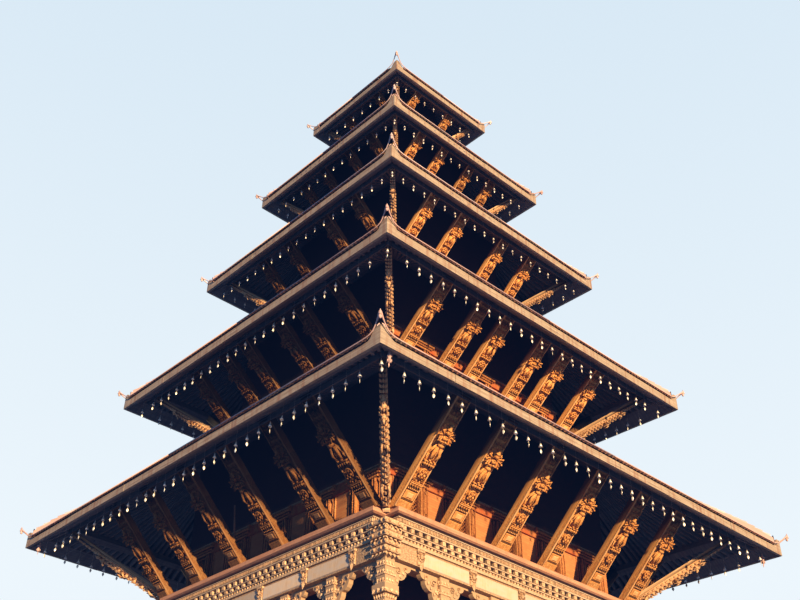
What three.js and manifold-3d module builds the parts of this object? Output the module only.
// Brick and timber pagoda: five tiled roofs, each carried by carved struts, on a plinth of five terraces.
// Lengths are in millimetres, +Z is up, and the origin is on the tower's axis at ground level.
// The stair side faces -Y. Every tier is square, so most pieces are one profile swept round four sides:
// a profile point is [distance out from the axis, height].
import * as THREE from 'three';
import { mergeVertices } from 'three/addons/utils/BufferGeometryUtils.js';
import Module from 'manifold-3d';

const wasm = await Module();
wasm.setup();

// Plinth of five terraces, and the stair that climbs it
const TERRACES = 5;
const TERRACE_RISE = 1720;
const TERRACE_TREAD = 1700;
const LOWEST_TERRACE_HALF = 13000;
const STAIR_HALF_WIDTH = 1500;
const STEPS_PER_FLIGHT = 7;
const CHEEK_WIDTH = 600;
const CHEEK_ABOVE_NOSINGS = 350;
const CHEEK_FOOT = 600;
const CHEEK_HEAD = 300;
const PLINTH_TOP = TERRACES * TERRACE_RISE;

// Temple floor, sanctum and colonnade
const FLOOR_HALF = 4550;
const FLOOR_RISE = 250;
const FLOOR_TOP = PLINTH_TOP + FLOOR_RISE;
const SANCTUM_HALF = 2600;
const SANCTUM_WALL = 600;
const DOOR_HALF = 600;
const DOOR_HEIGHT = 2200;
const DOOR_LINING = 120;
const ARCHITRAVE = 250;
const ARCHITRAVE_DEPTH = 100;
const LINTEL_EAR = 300;
const COLUMN_LINE = 3900;
const COLUMNS_PER_SIDE = 6;
const SHAFT = 260;
const COLUMN_FOOT = 416;
const COLUMN_FOOT_HEIGHT = 180;
const COLUMN_BASE = 338;
const COLUMN_BASE_HEIGHT = 420;
const COLUMN_RING = 312;
const RING_BELOW_SPRING = [420, 260];
const CAPITAL = 377;
const CAPITAL_BELOW_SPRING = [140, -40];
const ARCH_BOARD = 120;
const ARCH_SPRING = 10900;
const ARCH_CROWN = 11450;
const ARCH_CUSPS = [[0, 0], [0.3, 0.42], [0.62, 0.8], [0.8, 1]];
const CUSP_STEPS = 4;
const ARCH_INTO_SHAFT = 20;

// Cornice over the colonnade: its beam, its dentil bands and the ledge that carries the lowest struts
const CORNICE_INNER = 3600;
const BEAM_BOTTOM = 11500;
const BEAM_FACE = 4090;
const BEAM_TOP = 11865;
const CORNICE_BANDS = [[4145, BEAM_TOP], [4175, 11990], [4215, 12095], [4255, 12225]];
const LEDGE_FASCIA = 190;
const CORNER_NOTCH = 367;
const CEILING_THICKNESS = 250;

// The five tiers, from the lowest up. eave and eaveZ: the eave board's face and its lower edge;
// ledge and ledgeZ: the ledge that carries the struts; struts: places along a side, mirrored;
// windows: places along a side; opening: a window's width and height
const TIERS = [
  { eave: 6900, eaveZ: 13900, fascia: 240, ledge: 4340, ledgeZ: 12510, wall: 3770, thick: 600,
    struts: [780, 2378, 3825], strutWidth: 380, strutDepth: 160, lean: 45, foot: 4250, cornerFoot: 3965,
    windows: [-3100, -1579, 0, 1579, 3100], opening: [560, 700], sill: 250, head: 320 },
  { eave: 5530, eaveZ: 18115, fascia: 280, ledge: 3400, ledgeZ: 17150, wall: 3100, thick: 500,
    struts: [715, 1589, 2936], strutWidth: 370, strutDepth: 150, lean: 41, foot: 3360, cornerFoot: 3340,
    windows: [-2262, 0, 2262], opening: [520, 480], sill: 80, head: 240 },
  { eave: 4170, eaveZ: 22285, fascia: 265, ledge: 2420, ledgeZ: 21420, wall: 2150, thick: 450,
    struts: [836, 2034], strutWidth: 330, strutDepth: 135, lean: 42, foot: 2380, cornerFoot: 2360,
    windows: [-1435, 0, 1435], opening: [440, 450], sill: 80, head: 220 },
  { eave: 3160, eaveZ: 25710, fascia: 270, ledge: 1830, ledgeZ: 25080, wall: 1580, thick: 400,
    struts: [585, 1559], strutWidth: 290, strutDepth: 120, lean: 44, foot: 1790, cornerFoot: 1770,
    windows: [-1072, 0, 1072], opening: [360, 420], sill: 70, head: 200 },
  { eave: 2090, eaveZ: 28990, fascia: 245, ledge: 1130, ledgeZ: 28500, wall: 900, thick: 350,
    struts: [737], strutWidth: 270, strutDepth: 110, lean: 45, foot: 1090, cornerFoot: 1075,
    windows: [0], opening: [420, 400], sill: 70, head: 180 },
];
const FASCIA_THICKNESS = 60;
const RAFTERS_ABOVE_EAVE = 15;
const TILE_OVERHANG = 50;
const TILE_EDGE = 80;
const LEDGE_OVER_ROOF = 260;
const LEDGE_LIP = 60;
const TIMBER_FLOOR = 200;
const FLOOR_BELOW_RAFTERS = 100;
const CORNER_STRUT_DEPTH = 90;
const PURLIN = 140;
const FRAME_DEPTH = 60;
const FRAME_JAMB = 110;
const LINTEL_DEPTH = 100;
const HIP_WIDTH = 200;
const HIP_RISE = 180;
const HIP_SINK = 60;
const HIP_BEND = 0.16;
const HORN_LENGTH = 170;
const HORN_RISE = 300;
const HORN_TIP = [20, 40];
const APEX_HALF = 260;
const APEX_HOLE = 120;
const APEX_Z = 31000;
const FINIAL_BASE = 120;
const FINIAL_HEIGHT = 1500;
const BELL_SIDES = 20;

// Touching faces that are cut on a slope stay this far apart
const SEAT = 0.3;
const ROOT2 = Math.sqrt(2);

const brick = new THREE.MeshStandardMaterial({ color: 0xb5643c, roughness: 0.95, metalness: 0 });
const plinthBrick = new THREE.MeshStandardMaterial({ color: 0xa0603f, roughness: 0.95, metalness: 0 });
const stone = new THREE.MeshStandardMaterial({ color: 0xa79a8c, roughness: 0.9, metalness: 0 });
const carvedWood = new THREE.MeshStandardMaterial({ color: 0xa86a3a, roughness: 0.8, metalness: 0 });
const darkWood = new THREE.MeshStandardMaterial({ color: 0x5a4030, roughness: 0.85, metalness: 0 });
const paleWood = new THREE.MeshStandardMaterial({ color: 0xd9b48a, roughness: 0.8, metalness: 0 });
const tile = new THREE.MeshStandardMaterial({ color: 0x8a5138, roughness: 0.95, metalness: 0 });
const gilt = new THREE.MeshStandardMaterial({ color: 0xd8a83a, roughness: 0.35, metalness: 1 });

// Booleans: a closed geometry becomes a solid, and a solid becomes a geometry again
function solid(geometry) {
  const bare = geometry.clone();
  bare.deleteAttribute('normal');
  bare.deleteAttribute('uv');
  const merged = mergeVertices(bare, 0.001);
  const index = merged.getIndex().array;
  const corners = [];
  for (let i = 0; i < index.length; i += 3) {
    const [a, b, c] = [index[i], index[i + 1], index[i + 2]];
    if (a !== b && b !== c && c !== a) {
      corners.push(a, b, c);
    }
  }
  const mesh = new wasm.Mesh({
    numProp: 3,
    vertProperties: new Float32Array(merged.getAttribute('position').array),
    triVerts: new Uint32Array(corners),
  });
  return new wasm.Manifold(mesh);
}

function geometryOf(body) {
  const mesh = body.getMesh();
  const geometry = new THREE.BufferGeometry();
  geometry.setAttribute('position', new THREE.BufferAttribute(new Float32Array(mesh.vertProperties), 3));
  geometry.setIndex(new THREE.BufferAttribute(new Uint32Array(mesh.triVerts), 1));
  return geometry;
}

function join(bodies) {
  return bodies.reduce((sum, body) => sum.add(body));
}

function cut(body, holes) {
  return holes.reduce((rest, hole) => rest.subtract(hole), body);
}

// A box from its lowest and highest corners
function box(low, high) {
  const size = high.map((value, axis) => value - low[axis]);
  const geometry = new THREE.BoxGeometry(...size);
  geometry.translate(...low.map((value, axis) => value + size[axis] / 2));
  return solid(geometry);
}

// A plan outline: a square, or a square whose corners are notched inwards
function plan(half, notch) {
  const near = half - notch;
  const quarter = [[near, -half], [near, -near], [half, -near]];
  const turns = [[1, 0], [0, 1], [-1, 0], [0, -1]];
  return turns.flatMap(([c, s]) => quarter.map(([x, y]) => [c * x - s * y, s * x + c * y]));
}

// A closed profile of [out, height, notch] points, swept round the four sides with mitred corners
function squareRing(points) {
  const flat = points.map(([out, height]) => new THREE.Vector2(out, height));
  const clockwise = THREE.ShapeUtils.area(flat) < 0;
  const profile = clockwise ? points.toReversed() : points;
  const loops = profile.map(([out, height, notch = 0]) => plan(out, notch).map(([x, y]) => [x, y, height]));
  const around = loops[0].length;
  const positions = loops.flat(2);
  const index = [];
  for (let i = 0; i < loops.length; i += 1) {
    const next = (i + 1) % loops.length;
    for (let j = 0; j < around; j += 1) {
      const beside = (j + 1) % around;
      const [a, b, c, d] = [i * around + j, i * around + beside, next * around + beside, next * around + j];
      index.push(a, b, c, a, c, d);
    }
  }
  const geometry = new THREE.BufferGeometry();
  geometry.setAttribute('position', new THREE.Float32BufferAttribute(positions, 3));
  geometry.setIndex(index);
  return solid(geometry);
}

// An upright plate: a closed outline of [out, height] points, given a width, facing the -Y side
function plate(outline, width, along) {
  const shape = new THREE.Shape(outline.map(([out, height]) => new THREE.Vector2(out, height)));
  const geometry = new THREE.ExtrudeGeometry(shape, { depth: width, bevelEnabled: false });
  geometry.translate(0, 0, -width / 2);
  const facing = new THREE.Matrix4().makeBasis(
    new THREE.Vector3(0, -1, 0), new THREE.Vector3(0, 0, 1), new THREE.Vector3(-1, 0, 0));
  geometry.applyMatrix4(facing);
  geometry.translate(along, 0, 0);
  return geometry;
}

function turned(geometry, degrees) {
  return solid(geometry.clone().rotateZ(THREE.MathUtils.degToRad(degrees)));
}

function onFourSides(geometry) {
  return [0, 90, 180, 270].map((degrees) => turned(geometry, degrees));
}

function named(name, geometry, material) {
  const mesh = new THREE.Mesh(geometry, material);
  mesh.name = name;
  return mesh;
}

// The slope of one tier's roof: the tiles' upper face and the rafters' lower face at a distance out
function roofSlope(index) {
  const tier = TIERS[index];
  const above = TIERS[index + 1];
  const edge = [tier.eave + TILE_OVERHANG, tier.eaveZ + tier.fascia + TILE_EDGE];
  const end = above ? [above.ledge - LEDGE_LIP, above.ledgeZ - LEDGE_OVER_ROOF] : [APEX_HALF, APEX_Z];
  const slope = (end[1] - edge[1]) / (edge[0] - end[0]);
  return {
    slope,
    tiles: (out) => edge[1] + (edge[0] - out) * slope,
    rafters: (out) => tier.eaveZ + RAFTERS_ABOVE_EAVE + (tier.eave - FASCIA_THICKNESS - out) * slope,
  };
}

const pagoda = new THREE.Group();
pagoda.name = 'pagoda';

// Terraces: five square masses of brick
for (let level = 0; level < TERRACES; level += 1) {
  const half = LOWEST_TERRACE_HALF - level * TERRACE_TREAD;
  const terrace = named(`plinth_terrace_${level + 1}`,
    new THREE.BoxGeometry(2 * half, 2 * half, TERRACE_RISE), plinthBrick);
  terrace.position.z = (level + 0.5) * TERRACE_RISE;
  pagoda.add(terrace);
}

// Stair: one flight up each terrace, between two sloped cheek walls
const stair = new THREE.Group();
const run = TERRACE_TREAD / STEPS_PER_FLIGHT;
const rise = TERRACE_RISE / STEPS_PER_FLIGHT;
const flightOutline = [[0, 0]];
for (let step = 0; step < STEPS_PER_FLIGHT; step += 1) {
  const out = TERRACE_TREAD - step * run;
  flightOutline.push([out, step * rise], [out, (step + 1) * rise]);
}
flightOutline.push([0, TERRACE_RISE]);
for (let level = 0; level < TERRACES; level += 1) {
  const flight = named(`stair_flight_${level + 1}`, plate(flightOutline, 2 * STAIR_HALF_WIDTH, 0), stone);
  flight.position.y = -(LOWEST_TERRACE_HALF - level * TERRACE_TREAD);
  flight.position.z = level * TERRACE_RISE;
  stair.add(flight);
}
const stairFoot = LOWEST_TERRACE_HALF + TERRACE_TREAD;
const topEdge = LOWEST_TERRACE_HALF - (TERRACES - 1) * TERRACE_TREAD;
const cheekOutline = [
  [topEdge - CHEEK_HEAD, PLINTH_TOP],
  [topEdge - CHEEK_HEAD, PLINTH_TOP + CHEEK_ABOVE_NOSINGS],
  [topEdge, PLINTH_TOP + CHEEK_ABOVE_NOSINGS],
  [stairFoot, CHEEK_ABOVE_NOSINGS],
  [stairFoot + CHEEK_FOOT, CHEEK_ABOVE_NOSINGS],
  [stairFoot + CHEEK_FOOT, 0],
];
for (let level = 0; level < TERRACES; level += 1) {
  const face = LOWEST_TERRACE_HALF - level * TERRACE_TREAD;
  cheekOutline.push([face, level * TERRACE_RISE], [face, (level + 1) * TERRACE_RISE]);
}
for (const [side, name] of [[-1, 'left'], [1, 'right']]) {
  const cheek = named(`stair_cheek_${name}`, plate(cheekOutline, CHEEK_WIDTH, 0), stone);
  cheek.position.x = side * (STAIR_HALF_WIDTH + CHEEK_WIDTH / 2);
  stair.add(cheek);
}
pagoda.add(stair);

// Temple floor: the low step that the sanctum and the columns stand on
const templeFloor = named('temple_floor',
  new THREE.BoxGeometry(2 * FLOOR_HALF, 2 * FLOOR_HALF, FLOOR_RISE), stone);
templeFloor.position.z = PLINTH_TOP + FLOOR_RISE / 2;
pagoda.add(templeFloor);

// Sanctum: four thick brick walls, with a doorway in the front one
const ceilingBottom = TIERS[0].ledgeZ - CEILING_THICKNESS;
const sanctumInner = SANCTUM_HALF - SANCTUM_WALL;
const wallBox = box(
  [-SANCTUM_HALF, -SANCTUM_HALF, FLOOR_TOP],
  [SANCTUM_HALF, -sanctumInner, ceilingBottom]);
const doorHole = box(
  [-DOOR_HALF, -SANCTUM_HALF - 1, FLOOR_TOP - 1],
  [DOOR_HALF, -sanctumInner + 1, FLOOR_TOP + DOOR_HEIGHT]);
const sideWall = new THREE.BoxGeometry(SANCTUM_WALL, 2 * sanctumInner, ceilingBottom - FLOOR_TOP);
pagoda.add(named('sanctum_wall_front', geometryOf(wallBox.subtract(doorHole)), brick));
const backWall = named('sanctum_wall_back', geometryOf(wallBox), brick);
backWall.rotation.z = Math.PI;
pagoda.add(backWall);
for (const [side, name] of [[-1, 'left'], [1, 'right']]) {
  const wall = named(`sanctum_wall_${name}`, sideWall, brick);
  wall.position.set(side * (SANCTUM_HALF - SANCTUM_WALL / 2), 0, (FLOOR_TOP + ceilingBottom) / 2);
  pagoda.add(wall);
}

// Door frame: a lining inside the doorway, and an architrave with an eared lintel on its face
const doorTop = FLOOR_TOP + DOOR_HEIGHT;
const clearHalf = DOOR_HALF - DOOR_LINING;
const architraveHalf = clearHalf + ARCHITRAVE;
const frameFace = -SANCTUM_HALF - ARCHITRAVE_DEPTH;
const doorFrame = cut(
  join([
    box([-DOOR_HALF, -SANCTUM_HALF, FLOOR_TOP], [DOOR_HALF, -sanctumInner, doorTop]),
    box([-architraveHalf, frameFace, FLOOR_TOP], [architraveHalf, -SANCTUM_HALF, doorTop]),
    box([-architraveHalf - LINTEL_EAR, frameFace, doorTop - DOOR_LINING],
      [architraveHalf + LINTEL_EAR, -SANCTUM_HALF, doorTop + DOOR_LINING]),
  ]),
  [box([-clearHalf, frameFace - 1, FLOOR_TOP - 1], [clearHalf, -sanctumInner + 1, doorTop - DOOR_LINING])],
);
pagoda.add(named('door_frame', geometryOf(doorFrame), carvedWood));

// Colonnade: square columns joined by boards with a cusped arch over each bay
const bay = 2 * COLUMN_LINE / (COLUMNS_PER_SIDE - 1);

function column(along) {
  const blocks = [
    [COLUMN_FOOT, FLOOR_TOP, FLOOR_TOP + COLUMN_FOOT_HEIGHT],
    [COLUMN_BASE, FLOOR_TOP + COLUMN_FOOT_HEIGHT, FLOOR_TOP + COLUMN_BASE_HEIGHT],
    [SHAFT, FLOOR_TOP + COLUMN_BASE_HEIGHT, BEAM_BOTTOM],
    [COLUMN_RING, ...RING_BELOW_SPRING.map((below) => ARCH_SPRING - below)],
    [CAPITAL, ...CAPITAL_BELOW_SPRING.map((below) => ARCH_SPRING - below)],
  ];
  return join(blocks.map(([width, low, high]) => box(
    [along - width / 2, -COLUMN_LINE - width / 2, low],
    [along + width / 2, -COLUMN_LINE + width / 2, high])));
}

// A bay's arch. Its cusps are shares of the half bay and of the arch's rise, joined by quarter rounds
function archOutline(centre) {
  const half = bay / 2;
  const reach = half - SHAFT / 2 + ARCH_INTO_SHAFT;
  const right = [];
  for (let c = 0; c < ARCH_CUSPS.length - 1; c += 1) {
    const [from, to] = [ARCH_CUSPS[c], ARCH_CUSPS[c + 1]];
    for (let step = 0; step < CUSP_STEPS; step += 1) {
      const turn = (step / CUSP_STEPS) * Math.PI / 2;
      const [across, up] = [Math.sin(turn), 1 - Math.cos(turn)];
      right.push([from[0] + (to[0] - from[0]) * across, from[1] + (to[1] - from[1]) * up]);
    }
  }
  right.push(ARCH_CUSPS[ARCH_CUSPS.length - 1]);
  const side = right.map(([t, lift]) => [reach * (1 - t), ARCH_SPRING + lift * (ARCH_CROWN - ARCH_SPRING)]);
  const left = side.map(([x, z]) => [-x, z]);
  const outline = [
    [half, BEAM_BOTTOM], [half, ARCH_SPRING], ...side,
    ...left.reverse(), [-half, ARCH_SPRING], [-half, BEAM_BOTTOM],
  ];
  return outline.map(([x, z]) => [x + centre, z]);
}

function archBoard(centre) {
  const shape = new THREE.Shape(archOutline(centre).map(([x, z]) => new THREE.Vector2(x, z)));
  const geometry = new THREE.ExtrudeGeometry(shape, { depth: ARCH_BOARD, bevelEnabled: false });
  geometry.rotateX(Math.PI / 2);
  geometry.translate(0, -COLUMN_LINE + ARCH_BOARD / 2, 0);
  return solid(geometry);
}

const bays = [];
for (let i = 0; i < COLUMNS_PER_SIDE - 1; i += 1) {
  bays.push(-COLUMN_LINE + (i + 0.5) * bay);
}
const columnPlaces = [];
for (let i = 0; i < COLUMNS_PER_SIDE; i += 1) {
  columnPlaces.push(-COLUMN_LINE + i * bay);
}
const fullRow = join([...columnPlaces.map(column), ...bays.map(archBoard)]);
const cornerColumns = [column(-COLUMN_LINE), column(COLUMN_LINE)];
const innerColumns = columnPlaces.slice(1, -1).map(column);
const shortRow = cut(join([...innerColumns, ...bays.map(archBoard)]), cornerColumns);
const colonnades = [
  ['front', 0, fullRow], ['right', 90, shortRow], ['back', 180, fullRow], ['left', 270, shortRow],
];
for (const [name, degrees, row] of colonnades) {
  const colonnade = named(`colonnade_${name}`, geometryOf(row), carvedWood);
  colonnade.rotation.z = THREE.MathUtils.degToRad(degrees);
  pagoda.add(colonnade);
}

// Ceiling of the walk round the sanctum, which is the floor of the storey above
const ceiling = named('ambulatory_ceiling',
  new THREE.BoxGeometry(2 * CORNICE_INNER, 2 * CORNICE_INNER, CEILING_THICKNESS), darkWood);
ceiling.position.z = TIERS[0].ledgeZ - CEILING_THICKNESS / 2;
pagoda.add(ceiling);

// Cornice: beam, moulding, two dentil bands, comb band and ledge, each further out than the one below
const ledgeBottom = TIERS[0].ledgeZ - LEDGE_FASCIA;
const bands = [...CORNICE_BANDS, [TIERS[0].ledge, ledgeBottom]];
const corniceProfile = [[BEAM_FACE, BEAM_BOTTOM], [BEAM_FACE, BEAM_TOP]];
bands.forEach(([out, low], i) => {
  const high = i + 1 < bands.length ? bands[i + 1][1] : TIERS[0].ledgeZ;
  corniceProfile.push([out, low, CORNER_NOTCH], [out, high, CORNER_NOTCH]);
});
corniceProfile.push([CORNICE_INNER, TIERS[0].ledgeZ], [CORNICE_INNER, BEAM_BOTTOM]);
pagoda.add(named('cornice', geometryOf(squareRing(corniceProfile)), carvedWood));

// Window openings of one tier, as boxes through all four walls
function windowHoles(tier, sillZ) {
  const [width, height] = tier.opening;
  return tier.windows.flatMap((along) => onFourSides(
    new THREE.BoxGeometry(width, tier.thick + 400, height)
      .translate(along, -(tier.wall - tier.thick / 2), sillZ + height / 2)));
}

// Window frames of one tier: a ledge all round that joins a sill, two jambs and an eared lintel a window
function windowFrames(tier, sillZ, ledgeProfile) {
  const [width, height] = tier.opening;
  const pieces = [squareRing(ledgeProfile)];
  const frame = (halfWidth, low, high, depth, along) => onFourSides(
    new THREE.BoxGeometry(2 * halfWidth, depth, high - low)
      .translate(along, -(tier.wall + depth / 2), (low + high) / 2));
  for (const along of tier.windows) {
    const jambTop = sillZ + height + FRAME_JAMB;
    const lintelTop = sillZ + height + tier.head;
    pieces.push(...frame(width / 2 + FRAME_JAMB, tier.ledgeZ, jambTop, FRAME_DEPTH, along));
    pieces.push(...frame(width / 2 + 2 * FRAME_JAMB, jambTop - 1, lintelTop, LINTEL_DEPTH, along));
  }
  return cut(join(pieces), windowHoles(tier, sillZ));
}

// Struts of one tier: slanted planks on each side and one at each corner, joined by the purlin they carry
function struts(tier, roof) {
  const lean = Math.tan(THREE.MathUtils.degToRad(tier.lean));
  const heel = tier.foot - tier.strutDepth / Math.sin(THREE.MathUtils.degToRad(tier.lean));
  const seat = (out) => roof.rafters(out) - SEAT;
  const topAt = (start, tangent, slope, top) => (top - tier.ledgeZ + start * tangent) / (tangent + slope);
  const topFront = topAt(tier.foot, lean, roof.slope, seat(0));
  const topBack = topAt(heel, lean, roof.slope, seat(0));
  const outline = [
    [tier.foot, tier.ledgeZ], [topFront, seat(topFront)], [topBack, seat(topBack)], [heel, tier.ledgeZ],
  ];
  const pieces = [];
  for (const place of tier.struts) {
    pieces.push(...onFourSides(plate(outline, tier.strutWidth, place)));
    pieces.push(...onFourSides(plate(outline, tier.strutWidth, -place)));
  }
  // Beside the hip line the rafters lie lower, so a corner strut stops short of it by its half width
  const cornerWidth = tier.strutWidth / 2;
  const underHip = (along) => seat(along / ROOT2) - roof.slope * cornerWidth / 2 / ROOT2;
  const cornerStart = tier.cornerFoot * ROOT2;
  const cornerLean = (seat(topFront) - tier.ledgeZ) / (topFront * ROOT2 - cornerStart);
  const cornerHeel = cornerStart - CORNER_STRUT_DEPTH / Math.sin(Math.atan(cornerLean));
  const cornerFront = topAt(cornerStart, cornerLean, roof.slope / ROOT2, underHip(0));
  const cornerBack = topAt(cornerHeel, cornerLean, roof.slope / ROOT2, underHip(0));
  const cornerOutline = [
    [cornerStart, tier.ledgeZ], [cornerFront, underHip(cornerFront)],
    [cornerBack, underHip(cornerBack)], [cornerHeel, tier.ledgeZ],
  ];
  for (const degrees of [45, 135, 225, 315]) {
    pieces.push(turned(plate(cornerOutline, cornerWidth, 0), degrees));
  }
  const middle = (topFront + topBack) / 2;
  const [inner, outer] = [middle - PURLIN / 2, middle + PURLIN / 2];
  pieces.push(squareRing([
    [inner, seat(inner) - PURLIN], [outer, seat(outer) - PURLIN],
    [outer, seat(outer)], [inner, seat(inner)],
  ]));
  return join(pieces);
}

// Roof of one tier: a shell of rafters, boards and tiles, with a crest and an upturned horn on each hip
function roofShell(index, roof) {
  const tier = TIERS[index];
  const above = TIERS[index + 1];
  const edge = tier.eave + TILE_OVERHANG;
  const fasciaTop = tier.eaveZ + tier.fascia;
  const inner = tier.eave - FASCIA_THICKNESS;
  const head = above
    ? [[above.wall, roof.tiles(above.wall)], [above.wall, roof.rafters(above.wall)]]
    : [[APEX_HALF, APEX_Z], [APEX_HOLE, APEX_Z], [APEX_HOLE, roof.rafters(APEX_HOLE)]];
  const shell = squareRing([
    [inner, tier.eaveZ + RAFTERS_ABOVE_EAVE], [inner, fasciaTop],
    [edge, fasciaTop], [edge, fasciaTop + TILE_EDGE], ...head,
  ]);
  const hipEnd = (above ? above.ledge + 40 : APEX_HALF + 10) * ROOT2;
  const corner = edge * ROOT2;
  const surface = (along) => roof.tiles(along / ROOT2);
  const bend = corner - HIP_BEND * (corner - hipEnd);
  const hip = [
    [hipEnd, surface(hipEnd) - HIP_SINK],
    [corner - HORN_TIP[0], surface(corner) - HIP_SINK],
    [corner + HORN_LENGTH, surface(corner) + HORN_RISE - HORN_TIP[1]],
    [corner + HORN_LENGTH - HORN_TIP[0], surface(corner) + HORN_RISE],
    [(bend + corner) / 2, surface(bend) + HIP_RISE],
    [bend, surface(bend) + HIP_RISE],
    [hipEnd, surface(hipEnd) + HIP_RISE],
  ];
  const hips = [45, 135, 225, 315].map((degrees) => turned(plate(hip, HIP_WIDTH, 0), degrees));
  return join([shell, ...hips]);
}

let floorZ = TIERS[0].ledgeZ;
TIERS.forEach((tier, index) => {
  const number = index + 1;
  const roof = roofSlope(index);
  const storey = new THREE.Group();
  const sillZ = tier.ledgeZ + tier.sill;
  const wallInner = tier.wall - tier.thick;
  const ring = squareRing([
    [tier.wall, floorZ], [tier.wall, roof.rafters(tier.wall) - SEAT],
    [wallInner, roof.rafters(wallInner) - SEAT], [wallInner, floorZ],
  ]);
  storey.add(named(`storey_wall_${number}`, geometryOf(cut(ring, windowHoles(tier, sillZ))), brick));

  const lip = tier.ledge - LEDGE_LIP;
  const below = index > 0 ? roofSlope(index - 1) : null;
  const ledgeProfile = below
    ? [
      [tier.ledge, tier.ledgeZ], [tier.ledge, tier.ledgeZ - LEDGE_FASCIA],
      [lip, tier.ledgeZ - LEDGE_FASCIA], [lip, below.tiles(lip) + SEAT],
      [tier.wall, below.tiles(tier.wall) + SEAT], [tier.wall, tier.ledgeZ],
    ]
    : [
      [tier.wall + FRAME_DEPTH, tier.ledgeZ], [tier.wall, tier.ledgeZ],
      [tier.wall, tier.ledgeZ + LEDGE_LIP], [tier.wall + FRAME_DEPTH, tier.ledgeZ + LEDGE_LIP],
    ];
  const frames = geometryOf(windowFrames(tier, sillZ, ledgeProfile));
  storey.add(named(`window_frames_${number}`, frames, carvedWood));
  storey.add(named(`struts_${number}`, geometryOf(struts(tier, roof)), carvedWood));

  const face = tier.eave - FASCIA_THICKNESS;
  const fasciaTop = tier.eaveZ + tier.fascia;
  const boards = squareRing([
    [face, tier.eaveZ], [tier.eave, tier.eaveZ], [tier.eave, fasciaTop], [face, fasciaTop],
  ]);
  storey.add(named(`eave_boards_${number}`, geometryOf(boards), paleWood));
  storey.add(named(`roof_${number}`, geometryOf(roofShell(index, roof)), tile));

  // The next storey stands on a timber floor let in between these walls, just under the rafters
  if (index + 1 < TIERS.length) {
    floorZ = Math.floor(roof.rafters(tier.wall)) - FLOOR_BELOW_RAFTERS;
    const floor = named(`storey_floor_${number + 1}`,
      new THREE.BoxGeometry(2 * wallInner, 2 * wallInner, TIMBER_FLOOR), darkWood);
    floor.position.z = floorZ - TIMBER_FLOOR / 2;
    storey.add(floor);
  }
  pagoda.add(storey);
});

// Gilded finial: a square base and a turned bell with a tapering spire
const bell = [
  [0, 0], [0.16, 0], [0.16, 0.05], [0.12, 0.07], [0.12, 0.12], [0.17, 0.17],
  [0.175, 0.27], [0.15, 0.36], [0.1, 0.43], [0.07, 0.46], [0.1, 0.5], [0.1, 0.54],
  [0.06, 0.58], [0.08, 0.65], [0.07, 0.72], [0.03, 0.82], [0.02, 0.92], [0, 1],
];
const bellHeight = FINIAL_HEIGHT - FINIAL_BASE;
const bellProfile = bell.map(([r, z]) => new THREE.Vector2(r * bellHeight, z * bellHeight));
const turnedBell = new THREE.LatheGeometry(bellProfile, BELL_SIDES);
turnedBell.rotateX(Math.PI / 2);
turnedBell.translate(0, 0, APEX_Z + FINIAL_BASE);
const baseHalf = APEX_HALF - 10;
const finialBase = box([-baseHalf, -baseHalf, APEX_Z], [baseHalf, baseHalf, APEX_Z + FINIAL_BASE]);
pagoda.add(named('finial', geometryOf(finialBase.add(solid(turnedBell))), gilt));

export default pagoda;
